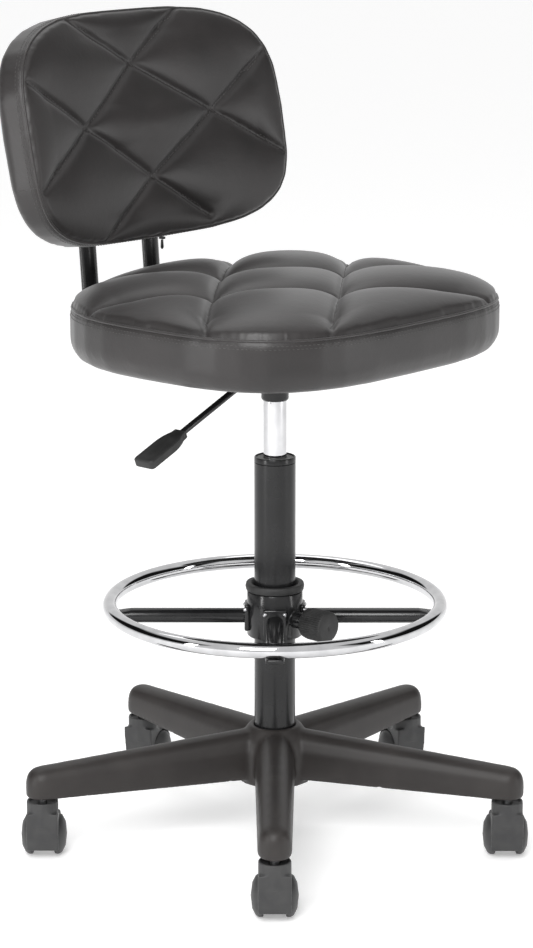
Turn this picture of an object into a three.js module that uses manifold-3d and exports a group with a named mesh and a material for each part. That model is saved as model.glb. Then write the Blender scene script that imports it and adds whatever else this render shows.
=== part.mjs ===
// A drafting chair: quilted seat and backrest on a gas column, with a height-adjustable foot ring and a
// five-legged base on twin-wheel casters. Millimetres, +Z up. The seat's front faces -Y, and the sitter's
// right hand is at -X. Everything is drawn about the column's axis, and the whole chair is moved at the end
// so that the origin is under the middle of its bounding box, on the floor.

import * as THREE from 'three';
import { mergeVertices } from 'three/addons/utils/BufferGeometryUtils.js';
import Module from 'manifold-3d';

const wasm = await Module();
wasm.setup();

// ---- Driving dimensions ----

const gap = 0.3;                       // clearance between touching pieces
const degree = Math.PI / 180;
const baseTurn = 221.5 * degree;       // direction of the first leg and of the first ring spoke

const column = { radius: 25, wall: 2, foot: 66, top: 478, bushLength: 80 };
const cylinder = { radius: 14, bottom: 215, shoulder: 547, top: 584, bore: 11.5, neck: 4 };

const base = { legs: 5, reach: 294, bottom: 79, hubTop: 141, tipTop: 116, hubRadius: 46 };
const leg = { hubHalf: 25, tipHalf: 19.8, shoulder: 13, archPower: 2.5 };

const wheel = { radius: 25, inner: 12.9, tread: 18.5, outer: 27.7, trail: 18 };
const hood = { half: 19.2, neckTop: 74.4, skin: 26, outer: 29, web: 12.5 };
const stem = { radius: 5.5, bottom: 54, top: 100 };
const axleRadius = 3;

const ring = { radius: 200, tube: 9.5, height: 294 };
const hub = { inner: 29, outer: 33.8, bottom: 255, top: 312 };
const spoke = { height: 18, width: 21, level: 279, tabHeight: 5 };
const clamp = { level: 280, turn: 48 * degree, bossEnd: 50, knobEnd: 86, knobRadius: 18.5, screw: 4 };

const seat = { halfWidth: 246, halfDepth: 218, ahead: 8, bottom: 606, seam: 668, crown: 698 };
const seatPower = { front: 3.2, rear: 2.5 };
const board = { thickness: 12, margin: 26 };

const back = { halfWidth: 226, halfHeight: 140, curve: 713, tilt: 11.6 * degree, depth: 219, centre: 861 };
const backPower = { upper: 3.2, lower: 4 };
const backThick = { front: 16, boxing: 36, rear: 70 };
const backBoard = { half: 130, front: -27.5, rear: -38.5 };

const post = { spread: 55, half: 13, depthHalf: 7.5, start: 78, lean: 4.5 * degree, stand: 257, level: 690 };
const postTop = 902;

const plate = { half: [75, 62], thickness: 2.7, top: 605.7, floor: 572.5, sheet: 2.5 };
const lever = { pivot: [-50, 578.4], slope: 21.9 * degree, rod: 4, inner: 59, outer: 122 };
const paddle = { length: 70, half: 15, neck: 8, thickness: 11 };
const zip = { across: 24, width: 6, pullLength: 16 };

// ---- Materials ----

function finish(color, roughness, metalness) {
  return () => new THREE.MeshStandardMaterial({ color, roughness, metalness });
}

const paint = {
  leather: finish(0x2f2c2c, 0.45, 0),
  nylon: finish(0x383432, 0.5, 0),
  casterPlastic: finish(0x4a4949, 0.5, 0),
  blackSteel: finish(0x1c1b1b, 0.3, 0.4),
  chrome: finish(0xe8e8e8, 0.08, 1),
  steel: finish(0xa8a8a8, 0.3, 1),
  bush: finish(0x8d8d8b, 0.5, 0),
  blackPlastic: finish(0x222222, 0.6, 0),
  wood: finish(0xb08c5a, 0.7, 0),
};

// ---- Geometry helpers ----

// Merge shared corners, drop collapsed triangles and turn the faces outwards.
function closed(geometry) {
  const bare = geometry.clone();
  bare.deleteAttribute('normal');
  bare.deleteAttribute('uv');
  const merged = mergeVertices(bare, 1e-4);
  const place = merged.getAttribute('position');
  const corner = [new THREE.Vector3(), new THREE.Vector3(), new THREE.Vector3()];
  const faces = [];
  let volume = 0;
  for (let i = 0; i < merged.index.count; i += 3) {
    const face = [0, 1, 2].map((k) => merged.index.getX(i + k));
    if (face[0] === face[1] || face[1] === face[2] || face[2] === face[0]) continue;
    face.forEach((at, k) => corner[k].fromBufferAttribute(place, at));
    volume += corner[0].dot(corner[1].clone().cross(corner[2]));
    faces.push(face);
  }
  merged.setIndex((volume < 0 ? faces.map((face) => face.reverse()) : faces).flat());
  return merged;
}

function solid(geometry) {
  const ready = closed(geometry);
  const vertProperties = new Float32Array(ready.getAttribute('position').array);
  const triVerts = new Uint32Array(ready.index.array);
  return new wasm.Manifold(new wasm.Mesh({ numProp: 3, vertProperties, triVerts }));
}

function geometryOf(manifold) {
  const mesh = manifold.getMesh();
  const geometry = new THREE.BufferGeometry();
  geometry.setAttribute('position', new THREE.BufferAttribute(new Float32Array(mesh.vertProperties), 3));
  geometry.setIndex(new THREE.BufferAttribute(new Uint32Array(mesh.triVerts), 1));
  return geometry;
}

function join(first, ...others) {
  return geometryOf(others.reduce((sum, geometry) => sum.add(solid(geometry)), solid(first)));
}

function cut(first, ...tools) {
  return geometryOf(tools.reduce((rest, geometry) => rest.subtract(solid(geometry)), solid(first)));
}

// A solid of revolution about +Z from [radius, height] points, closed on the axis or on itself.
function turned(points, segments = 24) {
  const profile = points.map(([radius, height]) => new THREE.Vector2(radius, height));
  return new THREE.LatheGeometry(profile, segments).rotateX(Math.PI / 2);
}

function rod(radius, low, high, segments = 16) {
  return turned([[0, low], [radius, low], [radius, high], [0, high]], segments);
}

// A tube wall of revolution, from [outer radius, inner radius, height] rows listed upwards.
function sleeve(rows, segments = 24) {
  const outside = rows.map(([outer, , height]) => [outer, height]);
  const inside = rows.map(([, inner, height]) => [inner, height]).reverse();
  return turned([...outside, ...inside, outside[0]], segments);
}

function box(low, high) {
  const size = high.map((value, i) => value - low[i]);
  const middle = high.map((value, i) => (value + low[i]) / 2);
  return new THREE.BoxGeometry(...size).translate(...middle);
}

// A closed solid through rings of equal point counts, with a fan over each end.
function loft(rings) {
  const count = rings[0].length;
  const points = rings.flat();
  const faces = [];
  for (let row = 0; row + 1 < rings.length; row += 1) {
    for (let i = 0; i < count; i += 1) {
      const a = row * count + i;
      const b = row * count + (i + 1) % count;
      faces.push(a, b, b + count, a, b + count, a + count);
    }
  }
  const ends = [[rings[0], 0, true], [rings.at(-1), (rings.length - 1) * count, false]];
  for (const [loop, start, first] of ends) {
    const middle = loop.reduce((sum, point) => sum.add(point), new THREE.Vector3()).divideScalar(count);
    const centre = points.push(middle) - 1;
    for (let i = 0; i < count; i += 1) {
      const pair = [start + i, start + (i + 1) % count];
      faces.push(centre, ...(first ? pair.reverse() : pair));
    }
  }
  return new THREE.BufferGeometry().setFromPoints(points).setIndex(faces);
}

// One point of a superellipse with half sizes a and b; the power may differ above and below.
function superellipse(angle, a, b, powerAbove, powerBelow) {
  const power = Math.sin(angle) > 0 ? powerAbove : powerBelow;
  const across = Math.sign(Math.cos(angle)) * Math.abs(Math.cos(angle)) ** (2 / power);
  const up = Math.sign(Math.sin(angle)) * Math.abs(Math.sin(angle)) ** (2 / power);
  return [a * across, b * up];
}

function around(count, makePoint) {
  return Array.from({ length: count }, (_, i) => makePoint(2 * Math.PI * i / count));
}

// ---- Assembly ----

const chair = new THREE.Group();

function piece(name, geometry, material, parent = chair) {
  const mesh = new THREE.Mesh(closed(geometry), material());
  mesh.name = name;
  parent.add(mesh);
  return mesh;
}

function spun(geometry, angle) {
  return geometry.clone().rotateZ(angle);
}

// ---- Base: five hollow nylon legs on a hub round the column's foot ----

// Half a leg's width at distance r from the column.
function legHalf(r) {
  return THREE.MathUtils.lerp(leg.hubHalf, leg.tipHalf, Math.min(r / base.reach, 1));
}

// A leg's outline at distance r: flat below, upright sides, arched top. across turns it round the leg's tip.
function legRing(r, across = 0) {
  const half = legHalf(r);
  const narrowed = half * Math.cos(across);
  const crest = THREE.MathUtils.lerp(base.hubTop, base.tipTop, Math.min(r / base.reach, 1));
  const side = base.bottom + leg.shoulder;
  const out = r + half * Math.sin(across);
  const points = [];
  const steps = 8;
  for (let i = 0; i <= steps; i += 1) {
    const y = -Math.cos(Math.PI * i / steps) * narrowed;
    const reach = Math.min(Math.hypot(y, half * Math.sin(across)) / half, 1);
    const arch = (1 - reach ** leg.archPower) ** (1 / leg.archPower);
    points.push(new THREE.Vector3(out, y, side + (crest - side) * arch));
  }
  points.push(new THREE.Vector3(out, narrowed, base.bottom + 2));
  points.push(new THREE.Vector3(out, narrowed - 2, base.bottom));
  points.push(new THREE.Vector3(out, -narrowed + 2, base.bottom));
  points.push(new THREE.Vector3(out, -narrowed, base.bottom + 2));
  return points;
}

function legSolid() {
  const run = [30, 100, 200, base.reach].map((r) => legRing(r));
  const tip = [22, 42, 60, 76].map((angle) => legRing(base.reach, angle * degree));
  return loft([...run, ...tip]);
}

// A pocket moulded into a leg's underside, between two ribs.
function legPocket(from, to) {
  const wall = 4.5;
  const thickerTop = 3;
  return loft([from, to].map((r) => {
    const half = legHalf(r) - wall;
    const crest = THREE.MathUtils.lerp(base.hubTop, base.tipTop, r / base.reach) - wall - thickerTop;
    const side = base.bottom + leg.shoulder;
    return [[-half, base.bottom - 5], [half, base.bottom - 5], [half, side], [half / 2, crest],
      [-half / 2, crest], [-half, side]].map(([y, z]) => new THREE.Vector3(r, y, z));
  }));
}

function baseStar() {
  const hubBody = turned([[0, base.bottom - 7], [base.hubRadius, base.bottom - 7], [base.hubRadius, 112],
    [42, 125], [36, 136], [31, base.hubTop + 1], [0, base.hubTop + 1]]);
  const socket = rod(stem.radius + gap, base.bottom - 1, stem.top + 1, 12).translate(base.reach, 0, 0);
  let star = hubBody;
  const pockets = [[62, 132], [137, 200], [205, 268]];
  const oneLeg = cut(legSolid(), ...pockets.map(([from, to]) => legPocket(from, to)), socket);
  for (let i = 0; i < base.legs; i += 1) {
    star = join(star, spun(oneLeg, baseTurn + 2 * Math.PI * i / base.legs));
  }
  return cut(star, rod(column.radius + gap, 0, 200, 48));
}

piece('base_star', baseStar(), paint.nylon);

// ---- Casters: hooded twin wheels on a pin that turns in the leg's socket ----

function casterHood() {
  const axle = [wheel.trail, wheel.radius];
  const side = new THREE.Shape();
  side.moveTo(-18.5, 62);
  side.quadraticCurveTo(-17.5, 34, -10.5, 12);
  side.lineTo(-6.5, 12.6);
  side.absarc(...axle, 10, -150 * degree, -20 * degree, false);
  side.lineTo(axle[0] + hood.outer - 1, axle[1] + 6);
  side.absarc(...axle, hood.outer, 20 * degree, 100 * degree, false);
  side.lineTo(-18.5, 62);
  const options = { depth: 2 * hood.half, bevelEnabled: false, curveSegments: 4 };
  // The side outline is drawn in the plane of the wheels, then stood up across the caster.
  const body = new THREE.ExtrudeGeometry(side, options).translate(0, 0, -hood.half);
  body.rotateX(Math.PI / 2);
  const neck = rod(hood.half, 44, hood.neckTop);
  const recess = rod(hood.half - 3, hood.neckTop - 3.5, hood.neckTop + 1);
  const pinHole = rod(stem.radius + gap, stem.bottom - gap, hood.neckTop + 1, 12);
  const arches = [-1, 1].map((hand) => {
    const arch = rod(hood.skin, hood.web, hood.half + 5, 20).rotateX(-hand * Math.PI / 2);
    return arch.translate(wheel.trail, 0, wheel.radius);
  });
  const axleHole = rod(axleRadius + gap, -40, 40, 12).rotateX(Math.PI / 2);
  axleHole.translate(wheel.trail, 0, wheel.radius);
  return cut(join(body, neck), recess, pinHole, axleHole, ...arches);
}

function casterWheel(hand) {
  const { radius, inner, tread, outer } = wheel;
  const bore = axleRadius + gap;
  const profile = [[0, outer - 5.7], [bore, outer - 5.7], [bore, inner], [radius - 1.2, inner],
    [radius, inner + 1.2], [radius, tread], [radius - 2.5, tread + 3.5], [15, outer - 1.8],
    [0, outer]];
  return turned(profile, 20).rotateX(-hand * Math.PI / 2).translate(wheel.trail, 0, wheel.radius);
}

// The casters have rolled to a stop trailing about one way, the rear ones turned a little.
const trailTurns = [0, 0, 22, -22, 0].map((angle) => baseTurn + Math.PI + angle * degree);

for (let i = 0; i < base.legs; i += 1) {
  const legTurn = baseTurn + 2 * Math.PI * i / base.legs;
  const caster = new THREE.Group();
  caster.position.set(base.reach * Math.cos(legTurn), base.reach * Math.sin(legTurn), 0);
  caster.rotation.z = trailTurns[i];
  chair.add(caster);
  const number = i + 1;
  const axle = rod(axleRadius, -21.6, 21.6, 12).rotateX(Math.PI / 2);
  piece(`caster_hood_${number}`, casterHood(), paint.casterPlastic, caster);
  piece(`caster_stem_${number}`, rod(stem.radius, stem.bottom, stem.top, 12), paint.steel, caster);
  piece(`caster_axle_${number}`, axle.translate(wheel.trail, 0, wheel.radius), paint.steel, caster);
  piece(`caster_wheel_left_${number}`, casterWheel(-1), paint.casterPlastic, caster);
  piece(`caster_wheel_right_${number}`, casterWheel(1), paint.casterPlastic, caster);
}

// ---- Column: outer tube, guide bush, piston rod on its bearing, and the gas cylinder ----

const columnBore = column.radius - column.wall;

function columnTube() {
  const footRadius = column.radius - 0.8;
  const plateTop = column.foot + 2.5;
  const rodHole = 7;
  return turned([[rodHole, column.foot], [footRadius, column.foot], [column.radius, 150],
    [column.radius, column.top - 1], [column.radius - 1, column.top], [columnBore, column.top],
    [columnBore, plateTop], [rodHole, plateTop], [rodHole, column.foot]], 32);
}

function columnBush() {
  const top = column.top - 1.2;
  const outer = columnBore - gap;
  const inner = cylinder.radius + gap;
  return sleeve([[outer, inner, top - column.bushLength], [outer, inner, top]], 32);
}

function pistonRod() {
  const bearingTop = column.foot + 2.5 + gap + 10;
  return turned([[0, 58], [5, 58], [5, bearingTop + gap], [8, bearingTop + gap], [8, bearingTop + 6],
    [5, bearingTop + 6], [5, 360], [11.1, 360], [11.1, 372], [0, 372]]);
}

function thrustBearing() {
  const bottom = column.foot + 2.5 + gap;
  return sleeve([[20, 5 + gap, bottom], [20, 5 + gap, bottom + 10]]);
}

function rodClip() {
  const shape = new THREE.Shape();
  shape.absarc(0, 0, 9, 30 * degree, 330 * degree, false);
  shape.absarc(0, 0, 5 + gap, 330 * degree, 30 * degree, true);
  return new THREE.ExtrudeGeometry(shape, { depth: 2, bevelEnabled: false, curveSegments: 16 })
    .translate(0, 0, column.foot - 2 - gap);
}

function gasCylinder() {
  const { radius, bottom, shoulder, top, bore, neck } = cylinder;
  const rodGuide = 5 + gap;
  return turned([[rodGuide, bottom], [radius, bottom], [radius, shoulder], [radius - 0.8, top],
    [neck + gap, top], [neck + gap, top - 8], [bore, top - 8], [bore, bottom + 8],
    [rodGuide, bottom + 8], [rodGuide, bottom]], 32);
}

// The valve's pin, standing out of the cylinder's neck with a domed end under the lever.
function releaseButton() {
  const { neck, top } = cylinder;
  return turned([[0, top - 13], [neck, top - 13], [neck, top + 6], [1.5, top + 9.2], [0, top + 9.2]], 12);
}

piece('column_tube', columnTube(), paint.blackSteel);
piece('column_bush', columnBush(), paint.bush);
piece('piston_rod', pistonRod(), paint.steel);
piece('thrust_bearing', thrustBearing(), paint.steel);
piece('rod_clip', rodClip(), paint.steel);
piece('gas_cylinder', gasCylinder(), paint.chrome);
piece('release_button', releaseButton(), paint.steel);

// ---- Foot ring: chromed ring, four spokes, hub, split liner and clamp ----

function ringLiner() {
  const inner = column.radius + gap;
  const outer = hub.inner - gap;
  const lip = hub.top + gap;
  const liner = sleeve([[outer, inner, hub.bottom + 2], [outer, inner, lip], [hub.outer + 1, inner, lip],
    [hub.outer + 2, inner + 1.5, lip + 5], [hub.outer + 1, inner + 4, lip + 9]], 32);
  return cut(liner, spun(box([20, -1.5, 250], [40, 1.5, 330]), baseTurn + clamp.turn + Math.PI));
}

const clampTurn = baseTurn + clamp.turn;

// Lay a solid drawn along +Z down onto the clamp's axis, pointing away from the column.
function ontoClampAxis(geometry) {
  return geometry.rotateY(Math.PI / 2).translate(0, 0, clamp.level).rotateZ(clampTurn);
}

function spokeSection(r, width, low, high) {
  const half = (high - low) / 2;
  const flat = width / 2 - half;
  return around(12, (angle) => {
    const y = Math.sign(Math.cos(angle)) * Math.max(flat, 0) + half * Math.cos(angle);
    return new THREE.Vector3(r, y, (low + high) / 2 + half * Math.sin(angle));
  });
}

// A flat-oval bar with its outer end pressed into a tab that lies under the ring.
function spokeSolid() {
  const low = spoke.level - spoke.height / 2;
  const high = low + spoke.height;
  const tubeInside = ring.radius - ring.tube;
  const tabTop = ring.height - ring.tube - gap;
  const tabLow = tabTop - spoke.tabHeight;
  return loft([spokeSection(hub.outer + gap + 1, spoke.width, low, high),
    spokeSection(tubeInside - 16, spoke.width, low, high),
    spokeSection(tubeInside - 1, spoke.width + 2, tabLow, tabTop),
    spokeSection(ring.radius + 6, spoke.width, tabLow, tabTop)]);
}

function ringHub() {
  const shell = sleeve([[hub.outer - 1, hub.inner, hub.bottom], [hub.outer, hub.inner, hub.bottom + 1.5],
    [hub.outer, hub.inner, hub.top - 1.5], [hub.outer - 1, hub.inner, hub.top]], 32);
  const boss = ontoClampAxis(rod(10, hub.inner + 2, clamp.bossEnd));
  const screwHole = ontoClampAxis(rod(clamp.screw + gap, 20, 60, 16));
  const shoeHole = ontoClampAxis(rod(6.5, 20, 36));
  return cut(join(shell, boss), screwHole, shoeHole);
}

function clampKnob() {
  const { bossEnd, knobEnd, knobRadius, screw } = clamp;
  const start = bossEnd + 3;
  const hole = screw + gap;
  const depth = 66;
  return ontoClampAxis(turned([[0, depth], [hole, depth], [hole, start], [knobRadius - 3, start],
    [knobRadius, start + 3], [knobRadius, knobEnd - 3], [knobRadius - 3, knobEnd], [0, knobEnd]]));
}

piece('ring_liner', ringLiner(), paint.blackPlastic);
piece('ring_hub', ringHub(), paint.blackSteel);
piece('foot_ring', new THREE.TorusGeometry(ring.radius, ring.tube, 10, 44).translate(0, 0, ring.height),
  paint.chrome);
for (let i = 0; i < 4; i += 1) {
  piece(`ring_spoke_${i + 1}`, spun(spokeSolid(), baseTurn + i * Math.PI / 2), paint.blackSteel);
}
piece('clamp_shoe', ontoClampAxis(rod(6, hub.inner, hub.inner + 3)), paint.blackPlastic);
piece('clamp_screw', ontoClampAxis(rod(clamp.screw, hub.inner + 3.3, 65.5, 16)), paint.steel);
piece('clamp_knob', clampKnob(), paint.blackPlastic);

// ---- Seat: pressed mechanism plate, board, cushion ----

const boltPlaces = [[-60, -48], [60, -48], [60, 48], [-60, 48]];

function rectangle(halfX, halfY, z) {
  return [[-1, -1], [1, -1], [1, 1], [-1, 1]].map(([x, y]) => new THREE.Vector3(x * halfX, y * halfY, z));
}

function liftMechanism() {
  const under = plate.top - plate.thickness;
  const { floor, sheet } = plate;
  const flange = box([-plate.half[0], -plate.half[1], under], [...plate.half, plate.top]);
  const pan = loft([rectangle(42, 36, floor), rectangle(54, 46, under + 1)]);
  const hollow = loft([rectangle(42 - sheet, 36 - sheet, floor + sheet),
    rectangle(54 - sheet, 46 - sheet, plate.top + 1)]);
  const cone = rod(cylinder.radius + 2.6, cylinder.shoulder + 2, cylinder.top - 2, 32);
  const collar = turned([[0, cylinder.shoulder], [15, cylinder.shoulder], [16.6, cylinder.shoulder + 2],
    [16.6, cylinder.shoulder + 4], [0, cylinder.shoulder + 4]], 32);
  const taper = turned([[0, 500], [cylinder.radius + gap, 500], [cylinder.radius + gap, cylinder.shoulder],
    [cylinder.radius - 0.8 + gap, cylinder.top], [cylinder.radius - 0.8 + gap, 620], [0, 620]], 32);
  const slot = box([-80, -5.5, floor - 2], [-36, 5.5, 594]);
  const holes = boltPlaces.map(([x, y]) => rod(3.3, 590, 610, 12).translate(x, y, 0));
  return cut(join(cut(join(flange, pan), hollow), cone, collar), taper, slot, ...holes);
}

function seatRing(z, inset) {
  return around(36, (angle) => {
    const [x, y] = superellipse(angle, seat.halfWidth - inset, seat.halfDepth - inset,
      seatPower.rear, seatPower.front);
    return new THREE.Vector3(x, y - seat.ahead, z);
  });
}

function seatCushion() {
  const { bottom, seam, crown } = seat;
  const outside = loft([seatRing(bottom, 16), seatRing(bottom + 6, 6), seatRing(bottom + 20, 0),
    seatRing(seam - 4, 0), seatRing(seam + 6, 7), seatRing(seam + 20, 36), seatRing(crown - 3, 70),
    seatRing(crown, 110)]);
  const recess = loft([seatRing(bottom - 5, board.margin - 0.5),
    seatRing(bottom + board.thickness + gap, board.margin - 0.5)]);
  return cut(outside, recess);
}

function seatBoard() {
  const slab = loft([seatRing(seat.bottom, board.margin), seatRing(seat.bottom + board.thickness, board.margin)]);
  return cut(slab, ...boltPlaces.map(([x, y]) => rod(3.3, 600, 616.5, 12).translate(x, y, 0)));
}

function seatBolt([x, y]) {
  const headTop = plate.top - plate.thickness - gap;
  return turned([[0, headTop - 4], [6, headTop - 4], [6, headTop], [3, headTop], [3, 616], [0, 616]], 12)
    .translate(x, y, 0);
}

piece('lift_mechanism', liftMechanism(), paint.blackSteel);
piece('seat_board', seatBoard(), paint.wood);
piece('seat_cushion', seatCushion(), paint.leather);
boltPlaces.forEach((place, i) => piece(`seat_bolt_${i + 1}`, seatBolt(place), paint.steel));

// ---- Lever: one bent-down rod over the release button, with a plastic paddle ----

// Put a solid drawn along +X, away from the pivot, onto the sloping lever.
function ontoLever(geometry) {
  return geometry.rotateY(lever.slope).rotateZ(Math.PI).translate(lever.pivot[0], 0, lever.pivot[1]);
}

function leverRod() {
  return ontoLever(rod(lever.rod, -lever.inner, lever.outer + 30, 16).rotateY(Math.PI / 2));
}

function leverPaddle() {
  const { length, half, neck, thickness } = paddle;
  const shape = new THREE.Shape();
  shape.moveTo(0, -neck);
  shape.lineTo(8, -neck - 1);
  shape.quadraticCurveTo(18, -half, 32, -half);
  shape.lineTo(length - 6, -half);
  shape.quadraticCurveTo(length, -half, length, -half + 6);
  shape.lineTo(length, half - 6);
  shape.quadraticCurveTo(length, half, length - 6, half);
  shape.lineTo(32, half);
  shape.quadraticCurveTo(18, half, 8, neck + 1);
  shape.lineTo(0, neck);
  const bevel = 1.6;
  const options = { depth: thickness - 2 * bevel, bevelSize: bevel, bevelThickness: bevel, bevelOffset: -bevel,
    bevelSegments: 1, curveSegments: 5 };
  const body = new THREE.ExtrudeGeometry(shape, options).translate(lever.outer, 0, bevel - thickness / 2);
  const hole = rod(lever.rod + gap, lever.outer - 5, lever.outer + 30 + gap, 16).rotateY(Math.PI / 2);
  return ontoLever(cut(body, hole));
}

piece('lever_rod', leverRod(), paint.blackSteel);
piece('lever_paddle', leverPaddle(), paint.blackPlastic);

// ---- Back posts: oval tubes from under the seat board up into the backrest ----

function postPath(hand) {
  const x = hand * post.spread;
  const low = seat.bottom - gap - post.depthHalf;
  const atHeight = (z) => post.stand + (z - post.level) * Math.tan(post.lean);
  const bend = 42;
  const corner = new THREE.Vector3(x, atHeight(low), low);
  const path = new THREE.CurvePath();
  const bendStart = new THREE.Vector3(x, corner.y - bend, low);
  const bendEnd = new THREE.Vector3(x, atHeight(low + bend), low + bend);
  path.add(new THREE.LineCurve3(new THREE.Vector3(x, post.start, low), bendStart));
  path.add(new THREE.QuadraticBezierCurve3(bendStart, corner, bendEnd));
  path.add(new THREE.LineCurve3(bendEnd, new THREE.Vector3(x, atHeight(postTop), postTop)));
  return path;
}

function postTube(hand, grow = 0) {
  const section = new THREE.Shape();
  section.absellipse(0, 0, post.depthHalf + grow, post.half + grow, 0, 2 * Math.PI);
  const options = { steps: 16, extrudePath: postPath(hand), curveSegments: 6, bevelEnabled: false };
  return new THREE.ExtrudeGeometry(section, options);
}

for (const [hand, side] of [[1, 'left'], [-1, 'right']]) {
  piece(`back_post_${side}`, postTube(hand), paint.blackSteel);
}

// ---- Backrest: a curved cushion over a curved board ----

// Place a point given across (s), up (h) and forward (w) of the curved, tilted front seam plane.
function backPoint(s, h, w) {
  const turn = s / back.curve;
  const forward = back.curve - (back.curve - w) * Math.cos(turn);
  return new THREE.Vector3((back.curve - w) * Math.sin(turn),
    back.depth + h * Math.sin(back.tilt) - forward * Math.cos(back.tilt),
    back.centre + h * Math.cos(back.tilt) + forward * Math.sin(back.tilt));
}

function backRing(w, inset) {
  return around(32, (angle) => {
    const [s, h] = superellipse(angle, back.halfWidth - inset, back.halfHeight - inset,
      backPower.upper, backPower.lower);
    return backPoint(s, h, w);
  });
}

function curvedSlab(half, low, high, rearFace, frontFace) {
  const across = 10;
  const rings = [];
  for (let i = 0; i <= across; i += 1) {
    const s = THREE.MathUtils.lerp(-half, half, i / across);
    rings.push([[low, rearFace], [high, rearFace], [high, frontFace], [low, frontFace]]
      .map(([h, w]) => backPoint(s, h, w)));
  }
  return loft(rings);
}

function backrestCushion() {
  const { front, boxing, rear } = backThick;
  const outside = loft([backRing(-rear, 100), backRing(-rear + 4, 72), backRing(-rear + 16, 40),
    backRing(-boxing - 3, 7), backRing(-boxing + 4, 0), backRing(-4, 0), backRing(5, 7),
    backRing(front - 4, 40), backRing(front, 82)]);
  const pocket = curvedSlab(backBoard.half + 0.5, -95.5, 95.5, backBoard.rear - 4, backBoard.front + 0.5);
  return cut(outside, pocket, postTube(1, 0.6), postTube(-1, 0.6));
}

piece('back_board', curvedSlab(backBoard.half, -95, 95, backBoard.rear, backBoard.front), paint.wood);
piece('backrest_cushion', backrestCushion(), paint.leather);

// ---- Zip under the backrest: a slider with a hanging pull ----

const zipPlace = backPoint(zip.across, -back.halfHeight, -backThick.boxing / 2);

function zipSlider() {
  return box([-zip.width / 2, -3, -3.4], [zip.width / 2, 3, -0.6]).translate(...zipPlace.toArray());
}

function zipPull() {
  const shape = new THREE.Shape();
  shape.moveTo(-1.6, -4.2);
  shape.lineTo(-2.3, -zip.pullLength + 2);
  shape.quadraticCurveTo(0, -zip.pullLength - 2, 2.3, -zip.pullLength + 2);
  shape.lineTo(1.6, -4.2);
  return new THREE.ExtrudeGeometry(shape, { depth: 1.2, bevelEnabled: false, curveSegments: 5 })
    .translate(0, 0, -0.6).rotateX(Math.PI / 2).translate(...zipPlace.toArray());
}

piece('zip_slider', zipSlider(), paint.steel);
piece('zip_pull', zipPull(), paint.steel);

// ---- Origin: floor level, under the middle of the bounding box ----

const bounds = new THREE.Box3().setFromObject(chair, true);
const middle = bounds.getCenter(new THREE.Vector3());
chair.position.set(-middle.x, -middle.y, -bounds.min.z);

export default chair;
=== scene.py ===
# A drafting chair on a five-leg base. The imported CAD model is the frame, and every piece rides on its bodies.
import bmesh
import bpy
import math
import numpy as np
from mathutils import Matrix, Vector
from mathutils.bvhtree import BVHTree


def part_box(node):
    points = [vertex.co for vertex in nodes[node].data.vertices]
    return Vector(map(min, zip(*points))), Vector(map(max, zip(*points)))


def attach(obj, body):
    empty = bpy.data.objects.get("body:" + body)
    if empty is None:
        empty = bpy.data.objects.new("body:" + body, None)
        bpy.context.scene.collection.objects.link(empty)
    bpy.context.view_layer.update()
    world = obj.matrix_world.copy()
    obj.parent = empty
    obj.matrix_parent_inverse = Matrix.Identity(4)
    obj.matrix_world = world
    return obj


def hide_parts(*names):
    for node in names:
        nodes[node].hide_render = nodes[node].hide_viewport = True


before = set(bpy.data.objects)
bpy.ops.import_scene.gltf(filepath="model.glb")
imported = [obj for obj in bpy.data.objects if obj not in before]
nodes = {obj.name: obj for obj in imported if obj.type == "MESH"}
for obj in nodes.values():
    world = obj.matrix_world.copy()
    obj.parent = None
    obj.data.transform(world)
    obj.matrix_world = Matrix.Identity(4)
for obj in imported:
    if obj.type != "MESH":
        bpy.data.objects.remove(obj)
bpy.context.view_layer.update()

column_low, column_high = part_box("column_tube")
axis = Vector(((column_low.x + column_high.x) / 2, (column_low.y + column_high.y) / 2, 0))


# Camera: stands in front of the chair's right-hand corner, a little above the seat, and looks slightly down.
camera_turn = math.radians(48.5)
camera_distance = 3.4342
camera_height = 1.2669
camera_pitch = 0.232
camera_aside = -0.0016
camera_pan = 0.0025
camera_lens = 111.34
camera_film = 36

camera_data = bpy.data.cameras.new("camera")
camera_data.sensor_width = camera_film
camera_data.lens = camera_lens
camera = bpy.data.objects.new("camera", camera_data)
toward = Vector((-math.sin(camera_turn), -math.cos(camera_turn), 0))
rightward = Vector((math.cos(camera_turn), -math.sin(camera_turn), 0))
camera.location = axis + toward * camera_distance + rightward * camera_aside + Vector((0, 0, camera_height))
camera.rotation_euler = (math.pi / 2 - camera_pitch, 0, camera_pan - camera_turn)
bpy.context.scene.collection.objects.link(camera)
bpy.context.scene.camera = camera


# Studio: a pale floor, an even white surround with a black flag on each side for the chrome to reflect, a
# slightly brighter horizon that meets the floor's tone, and four softboxes.
floor_half = 150.0
floor_tone = 0.93
floor_roughness = 0.9
floor_glow = 0.30
flag_tone = 0.012
sky_strength = 0.88
horizon_strength = 0.97
horizon_top = 0.16
horizon_bottom = 0.10

bpy.context.scene.view_settings.view_transform = "Standard"


def link_nodes(tree, *pairs):
    for start, end in pairs:
        tree.links.new(start, end)


def plane_mesh(name, half):
    mesh = bpy.data.meshes.new(name)
    corners = [(-half, -half, 0), (half, -half, 0), (half, half, 0), (-half, half, 0)]
    mesh.from_pydata(corners, [], [(0, 1, 2, 3)])
    return mesh


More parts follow.
